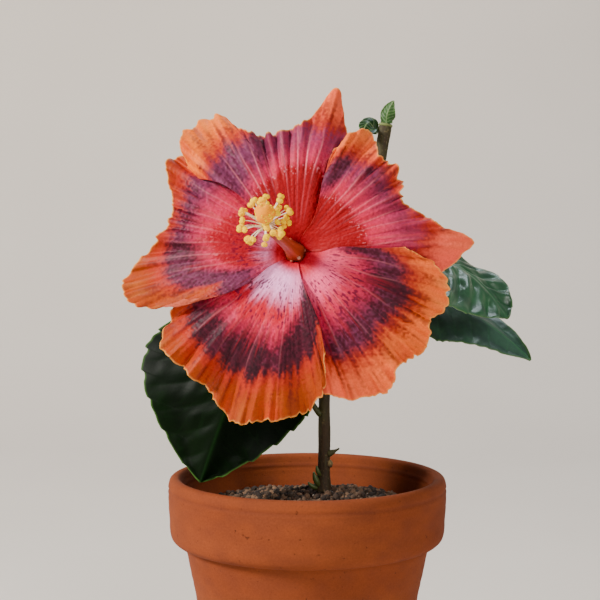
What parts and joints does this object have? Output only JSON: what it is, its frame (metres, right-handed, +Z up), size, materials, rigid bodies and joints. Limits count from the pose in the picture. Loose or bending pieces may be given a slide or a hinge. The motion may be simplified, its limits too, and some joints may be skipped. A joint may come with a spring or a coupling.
{
  "type": "potted hibiscus shrub",
  "caption": "Young hibiscus in a terracotta pot, with a short woody stem, broad toothed leaves and a single wide open ruffled bloom.",
  "frame": {"origin": "centre of the pot's flat underside", "axes": "+Z up, -Y the side that the bloom faces, +X to the right of someone who faces the bloom"},
  "size_m": [0.2125, 0.1944, 0.3377],
  "materials": {
    "terracotta": "matte",
    "soil": "matte",
    "bark": "matte",
    "green_stalk": "satin",
    "leaf": "gloss",
    "young_leaf": "satin",
    "petal": "satin",
    "column": "satin",
    "anthers": "matte",
    "stigma": "satin"
  },
  "bodies": {
    "root": {"pot": "terracotta", "soil": "soil", "main_stem": "bark", "upper_shoot": "bark", "petal_top": "petal", "petal_upper_right": "petal", "petal_lower_right": "petal", "petal_bottom": "petal", "petal_left": "petal", "stamen_column": "column", "anther_cluster": "anthers", "stigma": "stigma", "calyx": "green_stalk", "bract_ring": "green_stalk", "flower_stalk": "green_stalk", "leaf_lower_left": "leaf", "petiole_lower_left": "green_stalk", "leaf_right_upper": "leaf", "petiole_right_upper": "green_stalk", "leaf_right_lower": "leaf", "petiole_right_lower": "green_stalk", "leaf_back_left": "leaf", "petiole_back_left": "green_stalk", "leaf_back_right": "leaf", "petiole_back_right": "green_stalk", "leaf_back_high": "leaf", "petiole_back_high": "green_stalk", "young_leaf_left": "young_leaf", "young_leaf_tip": "young_leaf"}
  },
  "joints": []
}
